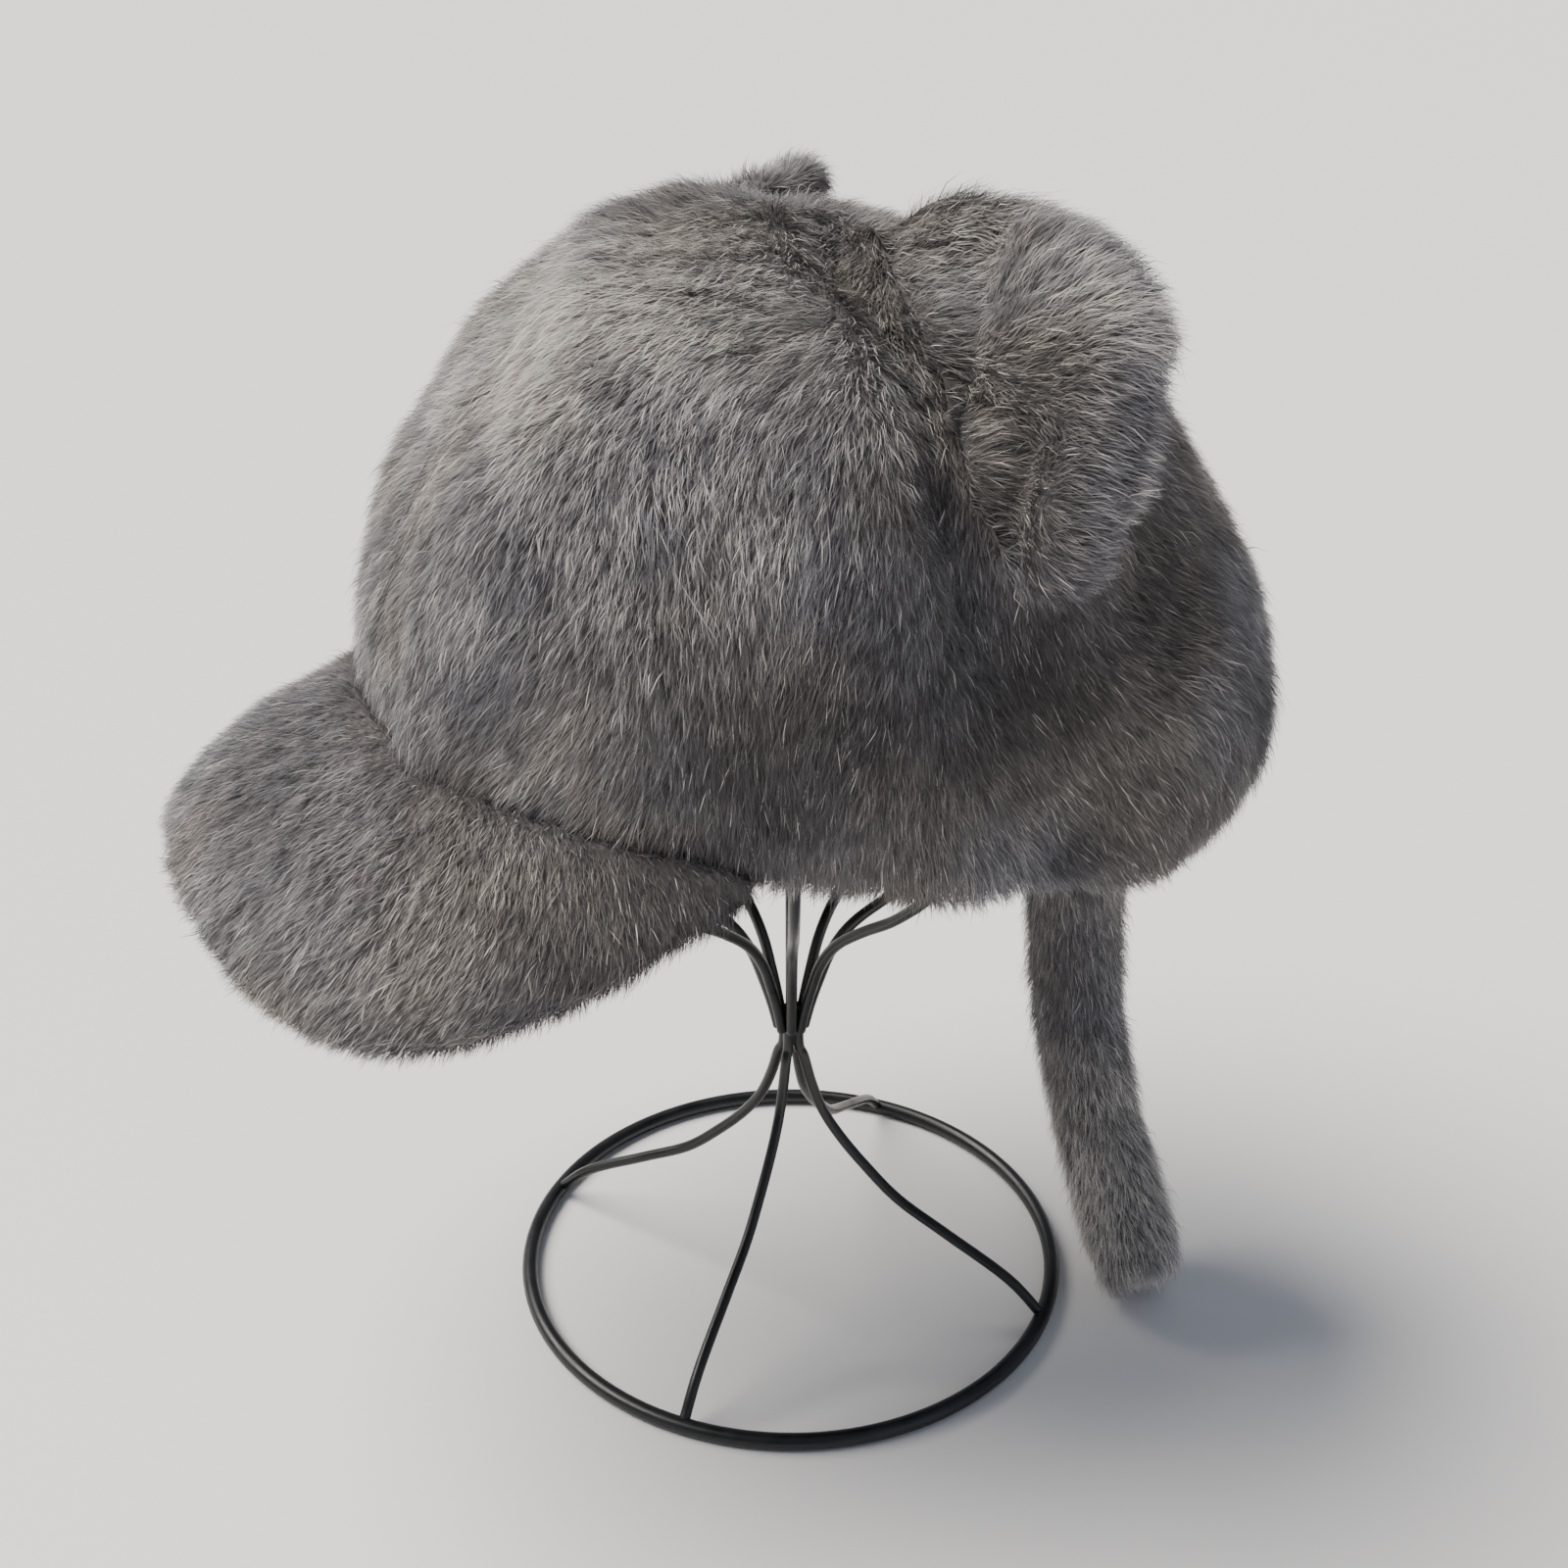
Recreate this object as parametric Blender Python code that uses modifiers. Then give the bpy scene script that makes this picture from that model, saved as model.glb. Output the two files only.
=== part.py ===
# A fur cat ear hat resting on its wire hat stand. Metres, +Z up.
# The hat's front looks along -Y, and +X is the wearer's left. The origin is on the floor, under the middle of the
# whole object's outline.

import bpy
import bmesh
from math import cos, exp, pi, radians, sin, tau
from mathutils import Matrix, Vector
from mathutils.bvhtree import BVHTree

OBJECT_NAME = "fur_cat_ear_hat"

# Shared fits
SEAT_GAP = 0.0003
ROUND_SIDES = 8

# Stand: a floor ring, four leg wires, a soldered neck and a cage of four petal loops
RING_RADIUS = 0.075
RING_WIRE = 0.0044
RING_STEPS = 56
STEM_WIRE = 0.003
LEG_COUNT = 4
LEG_TURN = radians(48)
NECK_LOW = 0.074
NECK_HIGH = 0.079
NECK_OVERLAP = 0.006
CAGE_HIGH = 0.283
CAGE_RADIUS = 0.060
PETAL_HALF_TURN = radians(22.5)

# Radii in the neck, as shares of the stem wire's thickness: leg wires, petal wires round them, solder
LEG_BUNDLE = 0.72
PETAL_BUNDLE = 1.15
SOLDER_RADIUS = 0.85
SOLDER_SIDES = 12

# Crown, in the hat's own frame: z = 0 at the rim's lower edge, y towards the back
CROWN_HEIGHT = 0.131
HALF_LENGTH = 0.110
HALF_WIDTH = 0.094
PILE_WALL = 0.008
CROWN_COLUMNS = 28
HAT_TILT = radians(10)
RIM_LIFT_FADE = 0.3

# Peak
PEAK_HALF_SPAN = radians(64)
PEAK_REACH = 0.044
PEAK_FALL = 0.042
PEAK_THICK = 0.012
PEAK_SEAT = 0.002
PEAK_ROOT_DEPTH = 0.007
RIM_PROBE = radians(0.5)

# Ears
EAR_LENGTH = 0.045
EAR_THICK = 0.012
EAR_ROOT_DEPTH = 0.006
EAR_ROOT_LEVEL = 0.35

# Tail
TAIL_RADIUS = 0.0132
TAIL_FLOOR_GAP = 0.0012
TAIL_TURN = radians(180)
TAIL_SWING = 0.053
TAIL_SEW_HEIGHT = 0.004
TAIL_SEW_DEPTH = 0.0015
TAIL_TUCK = 0.012
TAIL_END_INSET = 0.22
TAIL_END_SLANT = 0.6

# Leg wire from the floor ring up to the neck: radius as a share of the ring's, height as a share of the neck's top
LEG_ROWS = (
    # radius, height
    (1.000, 0.030),
    (0.860, 0.150),
    (0.620, 0.275),
    (0.430, 0.373),
    (0.293, 0.487),
    (0.193, 0.589),
    (0.124, 0.684),
    (0.080, 0.785),
    (0.050, 0.886),
)

# Half a petal loop: radius and height as shares of the cage's, turn as a share of the petal's half turn.
# Height runs from 0 at the neck's top to 1 at the cage's top.
PETAL_ROWS = (
    # radius, height, turn
    (0.085, 0.035, 1.00),
    (0.125, 0.074, 1.00),
    (0.180, 0.118, 1.00),
    (0.270, 0.158, 1.00),
    (0.420, 0.196, 1.00),
    (0.620, 0.240, 1.00),
    (0.820, 0.305, 1.00),
    (0.960, 0.400, 1.00),
    (1.000, 0.540, 1.00),
    (0.930, 0.710, 1.00),
    (0.760, 0.870, 0.98),
    (0.570, 0.965, 0.80),
    (0.440, 0.995, 0.45),
    (0.400, 1.000, 0.00),
)

# Crown sections from the rim up: height as a share of the crown's, the seam's place, the front and the back as
# shares of the half length, the side as a share of the half width
CROWN_ROWS = (
    # height, seam, front, back, side
    (0.000, 0.110, -0.960, 0.945, 0.985),
    (0.070, 0.095, -0.985, 1.015, 1.035),
    (0.190, 0.070, -1.000, 1.050, 1.065),
    (0.330, 0.035, -0.985, 1.025, 1.080),
    (0.470, -0.015, -0.940, 0.960, 1.070),
    (0.610, -0.070, -0.860, 0.835, 1.030),
    (0.740, -0.120, -0.755, 0.675, 0.935),
    (0.850, -0.150, -0.640, 0.530, 0.780),
    (0.930, -0.160, -0.500, 0.360, 0.560),
    (0.982, -0.165, -0.320, 0.150, 0.290),
)

# Dents (minus) and swells (plus) of the crown: turn from the front towards the wearer's left in degrees,
# height as a share of the crown's, depth as a share of the half width, spreads in degrees and height shares
CROWN_FOLDS = (
    # turn, height, depth, turn spread, height spread
    (90, 0.82, -0.075, 9, 0.16),
    (92, 0.52, -0.085, 10, 0.20),
    (98, 0.22, -0.070, 12, 0.24),
    (270, 0.82, -0.075, 9, 0.16),
    (268, 0.50, -0.070, 10, 0.22),
    (264, 0.20, -0.050, 12, 0.22),
    (26, 0.58, 0.044, 11, 0.34),
    (334, 0.58, 0.044, 11, 0.34),
    (0, 0.62, -0.030, 15, 0.22),
    (54, 0.50, -0.030, 13, 0.26),
    (306, 0.50, -0.030, 13, 0.26),
    (72, 0.30, 0.035, 11, 0.20),
    (288, 0.30, 0.035, 11, 0.20),
    (128, 0.34, 0.065, 17, 0.20),
    (232, 0.36, 0.055, 17, 0.20),
    (155, 0.60, -0.035, 14, 0.16),
    (205, 0.55, -0.035, 14, 0.16),
    (62, 0.06, -0.030, 14, 0.08),
    (115, 0.02, -0.030, 12, 0.08),
    (160, 0.06, 0.030, 14, 0.08),
)

# Lifts of the rim's lower edge: turn from the front in degrees, lift as a share of the crown's height, spread
RIM_LIFTS = (
    # turn, lift, spread
    (85, 0.012, 30),
    (275, 0.012, 30),
    (180, -0.035, 45),
)

# Peak from its middle to its corner: turn as a share of the half span, reach, fall and thickness as shares of the
# peak's
PEAK_ROWS = (
    # turn, reach, fall, thickness
    (0.00, 1.00, 0.78, 1.00),
    (0.22, 0.97, 0.95, 1.00),
    (0.42, 0.90, 1.17, 1.00),
    (0.60, 0.62, 1.08, 1.00),
    (0.76, 0.36, 0.68, 0.95),
    (0.90, 0.22, 0.30, 0.75),
    (1.00, 0.08, 0.08, 0.45),
)

# Peak from its root to its edge: share of the reach, share of the fall
PEAK_STEPS = (
    # reach, fall
    (0.00, 0.00),
    (0.36, 0.16),
    (0.70, 0.44),
    (0.91, 0.77),
    (1.00, 1.00),
)

# Ear from the top of its seam to the lower end: height on the crown as a share of the crown's, reach as a share of
# the ear's length, lean back from the crown's outward line in degrees, thickness as a share of the ear's
EAR_ROWS = (
    # height, reach, lean, thickness
    (0.985, 0.50, 98, 0.70),
    (0.950, 0.98, 94, 0.90),
    (0.895, 1.13, 86, 1.00),
    (0.825, 1.10, 78, 1.00),
    (0.740, 0.96, 72, 1.00),
    (0.650, 0.78, 66, 0.95),
    (0.550, 0.46, 60, 0.75),
)

# Ear from its seam to its edge: share of the reach, share of the lean, how far the hollow along the ear is pressed in
# as a share of the ear's thickness
EAR_STEPS = (
    # reach, lean, press
    (0.00, 0.50, 0.00),
    (0.16, 0.62, 0.12),
    (0.38, 0.85, 0.50),
    (0.68, 1.00, -0.20),
    (0.88, 1.15, 0.05),
    (1.00, 1.30, 0.10),
)

# How each ear differs: side of the head, scale of its lean, scale of its reach
EAR_POSES = (
    # name, side, lean scale, reach scale
    ("ear_left", 1, 1.00, 1.00),
    ("ear_right", -1, 1.00, 0.50),
)

# Tail from the rim to the floor: drop as a share of the way down, swing as a share of the tail's, thickness
TAIL_ROWS = (
    # drop, swing, thickness
    (0.00, -0.04, 1.10),
    (0.15, -0.05, 1.12),
    (0.32, -0.04, 1.08),
    (0.48, 0.00, 1.03),
    (0.60, 0.08, 1.00),
    (0.72, 0.25, 1.00),
    (0.82, 0.46, 0.98),
    (0.91, 0.71, 0.98),
    (1.00, 0.98, 0.98),
)


def clear_scene():
    for item in list(bpy.data.objects):
        bpy.data.objects.remove(item, do_unlink=True)


def new_collection(name, shown=True):
    collection = bpy.data.collections.new(name)
    bpy.context.scene.collection.children.link(collection)
    collection.hide_render = not shown
    return collection


def make_material(name, color, roughness, metallic=0.0):
    material = bpy.data.materials.new(name)
    material.use_nodes = True
    shader = material.node_tree.nodes["Principled BSDF"]
    shader.inputs["Base Color"].default_value = (*color, 1.0)
    shader.inputs["Roughness"].default_value = roughness
    shader.inputs["Metallic"].default_value = metallic
    material.diffuse_color = (*color, 1.0)
    return material


def add_object(name, data, collection, material=None, parent=None):
    item = bpy.data.objects.new(name, data)
    collection.objects.link(item)
    if material:
        data.materials.append(material)
    if parent:
        item.parent = parent
    return item


def hide_helper(item):
    item.hide_render = True
    item.display_type = "WIRE"


def evaluated_mesh(item):
    bpy.context.view_layer.update()
    graph = bpy.context.evaluated_depsgraph_get()
    return bpy.data.meshes.new_from_object(item.evaluated_get(graph))


def smooth_path(points, steps):
    # Catmull-Rom curve through the points, with a number of steps in each span
    line = [points[0] * 2 - points[1], *points, points[-1] * 2 - points[-2]]
    path = []
    for a, b, c, d in zip(line, line[1:], line[2:], line[3:]):
        for step in range(steps):
            t = step / steps
            bend = (a * -1 + b * 3 - c * 3 + d) * t**3 + (a * 2 - b * 5 + c * 4 - d) * t**2 + (c - a) * t
            path.append(b + bend / 2)
    return [*path, points[-1]]


def read_table(rows, place):
    # Smooth values of the columns after the first, at a place in the first column
    rows = sorted(rows)
    place = min(max(place, rows[0][0]), rows[-1][0])
    last = len(rows) - 1
    k = max(i for i in range(last) if rows[i][0] <= place)
    low, high = rows[k], rows[k + 1]
    width = high[0] - low[0]
    t = (place - low[0]) / width
    values = []
    for column in range(1, len(low)):
        slopes = []
        for i in (k, k + 1):
            before, after = rows[max(i - 1, 0)], rows[min(i + 1, last)]
            slopes.append((after[column] - before[column]) / (after[0] - before[0]) * width)
        a, b = low[column], high[column]
        values.append(
            a * (2 * t**3 - 3 * t**2 + 1)
            + b * (3 * t**2 - 2 * t**3)
            + slopes[0] * (t**3 - 2 * t**2 + t)
            + slopes[1] * (t**3 - t**2)
        )
    return values


def grid_mesh(name, rows, wrap=False):
    # A mesh of quads over rows of points; wrap joins each row's last point to its first
    mesh = bpy.data.meshes.new(name)
    bm = bmesh.new()
    verts = [[bm.verts.new(point) for point in row] for row in rows]
    count = len(rows[0])
    for low, high in zip(verts, verts[1:]):
        for i in range(count if wrap else count - 1):
            j = (i + 1) % count
            bm.faces.new((low[i], low[j], high[j], high[i]))
    bm.to_mesh(mesh)
    bm.free()
    return mesh


def shade_round(mesh, angle=radians(40)):
    mesh.shade_smooth()
    mesh.set_sharp_from_angle(angle=angle)


def add_subdivision(item, levels):
    modifier = item.modifiers.new("Rounding", "SUBSURF")
    modifier.levels = levels
    modifier.render_levels = levels


def add_padding(item, thickness, shares):
    # Thickens a grid on both faces, by its own share along each row
    group = item.vertex_groups.new(name="padding")
    columns = len(item.data.vertices) // len(shares)
    for i, share in enumerate(shares):
        group.add(range(i * columns, (i + 1) * columns), share, "REPLACE")
    pad = item.modifiers.new("Padding", "SOLIDIFY")
    pad.thickness = thickness
    pad.offset = 0
    pad.vertex_group = group.name


def add_difference(item, cutter):
    modifier = item.modifiers.new("Seat", "BOOLEAN")
    modifier.operation = "DIFFERENCE"
    modifier.solver = "EXACT"
    modifier.object = cutter


# Stand


def wire_object(name, points, thickness, collection, parent):
    curve = bpy.data.curves.new(name, "CURVE")
    curve.dimensions = "3D"
    curve.bevel_depth = thickness / 2
    curve.bevel_resolution = 1
    curve.use_fill_caps = True
    spline = curve.splines.new("POLY")
    spline.points.add(len(points) - 1)
    for target, point in zip(spline.points, points):
        target.co = (*point, 1.0)
    drawn = add_object(name + "_curve", curve, collection)
    mesh = evaluated_mesh(drawn)
    bm = bmesh.new()
    bm.from_mesh(mesh)
    bmesh.ops.remove_doubles(bm, verts=bm.verts, dist=1e-6)
    bm.to_mesh(mesh)
    bm.free()
    wire = add_object(name, mesh, collection, None, parent)
    wire.matrix_world = drawn.matrix_world
    bpy.data.objects.remove(drawn)
    hide_helper(wire)
    return wire


def polar(radius, turn, height):
    return Vector((radius * cos(turn), radius * sin(turn), height))


def leg_points(turn):
    profile = [Vector((r * RING_RADIUS, h * NECK_HIGH, 0)) for r, h in LEG_ROWS]
    # The lowest point sits in the middle of the ring's wire, the highest two run up through the neck
    profile[0].y = RING_WIRE / 2
    bundle = STEM_WIRE * LEG_BUNDLE
    profile += [Vector((bundle, NECK_LOW, 0)), Vector((bundle, NECK_HIGH + NECK_OVERLAP, 0))]
    return [polar(p.x, turn, p.y) for p in smooth_path(profile, 2)]


def petal_points(turn):
    rise = CAGE_HIGH - NECK_HIGH
    side = [Vector((STEM_WIRE * PETAL_BUNDLE, NECK_HIGH, PETAL_HALF_TURN))]
    side += [Vector((r * CAGE_RADIUS, NECK_HIGH + h * rise, t * PETAL_HALF_TURN)) for r, h, t in PETAL_ROWS]
    whole = side + [Vector((p.x, p.y, -p.z)) for p in reversed(side[:-1])]
    return [polar(p.x, turn + p.z, p.y) for p in whole]


def make_stand(collection, cutters, material, base):
    # The ring's wire is turned about the stand's axis from a profile whose lowest side is flat on the floor
    corner = RING_WIRE / 2 / cos(pi / ROUND_SIDES)
    mesh = bpy.data.meshes.new("stand")
    bm = bmesh.new()
    verts = []
    for i in range(ROUND_SIDES):
        angle = -(i + 0.5) * tau / ROUND_SIDES
        verts.append(bm.verts.new((RING_RADIUS + corner * cos(angle), 0, RING_WIRE / 2 + corner * sin(angle))))
    for i in range(ROUND_SIDES):
        bm.edges.new((verts[i], verts[(i + 1) % ROUND_SIDES]))
    bm.to_mesh(mesh)
    bm.free()
    stand = add_object("stand", mesh, collection, material, base)
    turned = stand.modifiers.new("Turned ring", "SCREW")
    turned.steps = RING_STEPS
    turned.render_steps = RING_STEPS
    turned.use_merge_vertices = True
    turned.merge_threshold = 0.00001
    wires = bpy.data.collections.new("stand_wires")
    cutters.children.link(wires)
    for i in range(LEG_COUNT):
        turn = LEG_TURN + i * tau / LEG_COUNT
        wire_object(f"leg_wire_{i + 1}", leg_points(turn), STEM_WIRE, wires, base)
        wire_object(f"petal_wire_{i + 1}", petal_points(turn), STEM_WIRE, wires, base)
    solder = bpy.data.meshes.new("solder")
    bm = bmesh.new()
    length = NECK_HIGH + NECK_OVERLAP - NECK_LOW
    radius = STEM_WIRE * SOLDER_RADIUS
    middle = Matrix.Translation((0, 0, NECK_LOW + length / 2))
    bmesh.ops.create_cone(
        bm, cap_ends=True, segments=SOLDER_SIDES, radius1=radius, radius2=radius, depth=length, matrix=middle
    )
    bm.to_mesh(solder)
    bm.free()
    hide_helper(add_object("solder", solder, wires, None, base))
    joined = stand.modifiers.new("Soldered", "BOOLEAN")
    joined.operation = "UNION"
    joined.solver = "EXACT"
    joined.operand_type = "COLLECTION"
    joined.collection = wires
    return stand


# Hat


def front_turn(turn):
    # Angle about +Z, in radians, of a turn from the front towards the wearer's left
    return turn - pi / 2


def fold_depth(turn, height):
    depth = 0.0
    for at, level, share, turn_spread, height_spread in CROWN_FOLDS:
        away = (turn - radians(at) + pi) % tau - pi
        weight = exp(-((away / radians(turn_spread)) ** 2) - ((height - level) / height_spread) ** 2)
        depth += share * HALF_WIDTH * weight
    return depth


def rim_lift(turn, height):
    lift = 0.0
    for at, share, spread in RIM_LIFTS:
        away = (turn - radians(at) + pi) % tau - pi
        lift += share * CROWN_HEIGHT * exp(-((away / radians(spread)) ** 2))
    return lift * max(0.0, 1 - height / RIM_LIFT_FADE)


def crown_point(turn, height, out=0.0):
    # The crown's outer face, at a turn from the front and a height share
    seam, front, back, side = read_table(CROWN_ROWS, height)
    angle = front_turn(turn)
    end = back if sin(angle) > 0 else front
    across = side * HALF_WIDTH * cos(angle)
    along = (end - seam) * HALF_LENGTH * abs(sin(angle))
    outward = Vector((across, along, 0))
    reach = outward.length + fold_depth(turn, height) + out
    point = outward.normalized() * reach
    point.y += seam * HALF_LENGTH
    point.z = height * CROWN_HEIGHT + rim_lift(turn, height)
    return point


def crown_cage(rim_drop=0.0):
    rows = []
    for height, *_ in CROWN_ROWS:
        rows.append([crown_point(i * tau / CROWN_COLUMNS, height) for i in range(CROWN_COLUMNS)])
    rows[0] = [point - Vector((0, 0, rim_drop)) for point in rows[0]]
    mesh = grid_mesh("crown", rows, wrap=True)
    bm = bmesh.new()
    bm.from_mesh(mesh)
    bm.verts.ensure_lookup_table()
    top = bm.verts.new((0, CROWN_ROWS[-1][1] * HALF_LENGTH, CROWN_HEIGHT))
    last = bm.verts[-1 - CROWN_COLUMNS : -1]
    for i in range(CROWN_COLUMNS):
        bm.faces.new((last[i], last[(i + 1) % CROWN_COLUMNS], top))
    bm.normal_update()
    bm.to_mesh(mesh)
    bm.free()
    return mesh


def make_crown(collection, material, hat):
    crown = add_object("crown", crown_cage(), collection, material, hat)
    add_subdivision(crown, 1)
    wall = crown.modifiers.new("Pile and cloth", "SOLIDIFY")
    wall.thickness = PILE_WALL
    wall.offset = -1
    shade_round(crown.data)
    return crown


def crown_cutter(cutters, hat):
    # The crown's wall, thicker by the seat gap on both faces, that cuts what is sewn to it
    cutter = add_object("crown_cutter", crown_cage(rim_drop=SEAT_GAP), cutters, None, hat)
    add_subdivision(cutter, 1)
    wall = cutter.modifiers.new("Wall and gap", "SOLIDIFY")
    wall.thickness = PILE_WALL + 2 * SEAT_GAP
    wall.offset = -1 + 2 * SEAT_GAP / wall.thickness
    hide_helper(cutter)
    return cutter


def crown_filling(cutters, hat):
    # The crown as a full body, larger by the seat gap, that cuts the peak and the ears
    mesh = crown_cage()
    bm = bmesh.new()
    bm.from_mesh(mesh)
    crease = bm.edges.layers.float.new("crease_edge")
    rim = [edge for edge in bm.edges if edge.is_boundary]
    bmesh.ops.contextual_create(bm, geom=rim)
    for edge in rim:
        edge[crease] = 1.0
    bmesh.ops.recalc_face_normals(bm, faces=bm.faces)
    bm.to_mesh(mesh)
    bm.free()
    filling = add_object("crown_filling", mesh, cutters, None, hat)
    add_subdivision(filling, 1)
    grown = filling.modifiers.new("Gap", "DISPLACE")
    grown.strength = SEAT_GAP
    grown.mid_level = 0
    hide_helper(filling)
    return filling


def make_peak(collection, material, hat, filling):
    rows = []
    padding = []
    turns = [side * row[0] for side, table in ((-1, PEAK_ROWS[:0:-1]), (1, PEAK_ROWS)) for row in table]
    for share in turns:
        reach, fall, thickness = read_table(PEAK_ROWS, abs(share))
        padding.append(thickness)
        turn = share * PEAK_HALF_SPAN
        root = crown_point(turn, PEAK_SEAT / CROWN_HEIGHT)
        ahead = crown_point(turn + RIM_PROBE, PEAK_SEAT / CROWN_HEIGHT)
        along = (ahead - root).normalized()
        outward = Vector((along.y, -along.x, 0)).normalized()
        row = [root - outward * PEAK_ROOT_DEPTH]
        for reach_share, fall_share in PEAK_STEPS:
            point = root + outward * reach_share * reach * PEAK_REACH
            row.append(point - Vector((0, 0, fall_share * fall * PEAK_FALL)))
        rows.append(row)
    peak = add_object("peak", grid_mesh("peak", rows), collection, material, hat)
    add_padding(peak, PEAK_THICK, padding)
    add_subdivision(peak, 1)
    add_difference(peak, filling)
    shade_round(peak.data)
    return peak


def ear_rows(lean_scale, reach_scale):
    rows = []
    middle = Vector((0, 0, CROWN_HEIGHT * EAR_ROOT_LEVEL))
    for height, reach, lean, _ in EAR_ROWS:
        root = crown_point(pi / 2, height)
        outward = (root - middle).normalized()
        back = Vector((0, 1, 0))
        back = (back - outward * back.dot(outward)).normalized()
        row = [root - outward * EAR_ROOT_DEPTH]
        place = root
        row.append(place)
        for (reach_a, lean_a, _), (reach_b, lean_b, press) in zip(EAR_STEPS, EAR_STEPS[1:]):
            angle = radians(lean * lean_scale * (lean_a + lean_b) / 2)
            step = (reach_b - reach_a) * reach * reach_scale * EAR_LENGTH
            place = place + (outward * cos(angle) + back * sin(angle)) * step
            row.append(place - outward * press * EAR_THICK)
        rows.append(row)
    return rows


def make_ear(pose, collection, material, hat, filling):
    name, side, lean_scale, reach_scale = pose
    rows = ear_rows(lean_scale, reach_scale)
    padding = [row[3] for row in EAR_ROWS]
    if side < 0:
        rows = [[Vector((-p.x, p.y, p.z)) for p in row] for row in reversed(rows)]
        padding.reverse()
    ear = add_object(name, grid_mesh(name, rows), collection, material, hat)
    add_padding(ear, EAR_THICK, padding)
    add_subdivision(ear, 1)
    add_difference(ear, filling)
    shade_round(ear.data)
    return ear


def make_tail(collection, material, base, hat, cutter):
    wall = crown_point(TAIL_TURN, TAIL_SEW_HEIGHT / CROWN_HEIGHT, out=-PILE_WALL)
    top = hat.matrix_world @ wall
    top += Vector((0, TAIL_SEW_DEPTH - TAIL_RADIUS * TAIL_ROWS[0][2], TAIL_TUCK))
    drop = top.z - TAIL_FLOOR_GAP - TAIL_RADIUS * TAIL_END_SLANT
    stations = []
    for share, swing, thick in TAIL_ROWS:
        stations.append(Vector((top.x + swing * TAIL_SWING, top.y, top.z - share * drop)))
    rings = []
    last = len(stations) - 1
    for i, centre in enumerate(stations):
        line = (stations[min(i + 1, last)] - stations[max(i - 1, 0)]).normalized()
        across = line.cross(Vector((0, 1, 0))).normalized()
        outward = across.cross(line)
        radius = TAIL_RADIUS * TAIL_ROWS[i][2]
        ring = []
        for k in range(ROUND_SIDES):
            angle = k * tau / ROUND_SIDES
            ring.append(centre + (across * cos(angle) + outward * sin(angle)) * radius)
        rings.append(ring)
    mesh = grid_mesh("tail", rings, wrap=True)
    bm = bmesh.new()
    bm.from_mesh(mesh)
    bmesh.ops.holes_fill(bm, edges=[edge for edge in bm.edges if edge.is_boundary])
    ends = [face for face in bm.faces if len(face.verts) == ROUND_SIDES]
    bmesh.ops.inset_individual(bm, faces=ends, thickness=TAIL_RADIUS * TAIL_END_INSET)
    bmesh.ops.recalc_face_normals(bm, faces=bm.faces)
    bm.to_mesh(mesh)
    bm.free()
    tail = add_object("tail", mesh, collection, material, base)
    add_subdivision(tail, 1)
    add_difference(tail, cutter)
    shade_round(tail.data)
    return tail


def seat_on_stand(hat, crown, stand):
    # Lowers the hat until the inside of its crown rests on the cage
    crown_mesh = evaluated_mesh(crown)
    stand_mesh = evaluated_mesh(stand)
    tree = BVHTree.FromPolygons(
        [hat.matrix_world @ vertex.co for vertex in crown_mesh.vertices],
        [polygon.vertices[:] for polygon in crown_mesh.polygons],
    )
    free = []
    for vertex in stand_mesh.vertices:
        if vertex.co.z > (NECK_HIGH + CAGE_HIGH) / 2:
            hit = tree.ray_cast(vertex.co, Vector((0, 0, 1)))
            if hit[0]:
                free.append(hit[3])
    bpy.data.meshes.remove(crown_mesh)
    bpy.data.meshes.remove(stand_mesh)
    hat.location.z -= min(free) - SEAT_GAP
    bpy.context.view_layer.update()


def centre_on_origin(base, parts):
    # Moves the whole sideways until the middle of its outline stands over the origin
    corners = []
    for item in parts:
        mesh = evaluated_mesh(item)
        corners += [item.matrix_world @ vertex.co for vertex in mesh.vertices]
        bpy.data.meshes.remove(mesh)
    for axis in (0, 1):
        values = [corner[axis] for corner in corners]
        base.location[axis] -= (min(values) + max(values)) / 2


def build():
    clear_scene()
    parts = new_collection(OBJECT_NAME)
    cutters = new_collection("cutters", shown=False)
    base = bpy.data.objects.new("stand_axis", None)
    parts.objects.link(base)
    coated_wire = make_material("black coated wire", (0.008, 0.010, 0.011), 0.35, 0.0)
    grey_fur = make_material("grey faux fur", (0.165, 0.155, 0.150), 0.95)
    stand = make_stand(parts, cutters, coated_wire, base)
    hat = bpy.data.objects.new("hat_pose", None)
    parts.objects.link(hat)
    hat.parent = base
    hat.rotation_euler = (-HAT_TILT, 0, 0)
    hat.location.z = CAGE_HIGH
    crown = make_crown(parts, grey_fur, hat)
    seat_on_stand(hat, crown, stand)
    filling = crown_filling(cutters, hat)
    make_peak(parts, grey_fur, hat, filling)
    for pose in EAR_POSES:
        make_ear(pose, parts, grey_fur, hat, filling)
    make_tail(parts, grey_fur, base, hat, crown_cutter(cutters, hat))
    centre_on_origin(base, [item for item in parts.objects if item.type == "MESH"])
    bpy.context.view_layer.update()


build()
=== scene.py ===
import math

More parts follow.
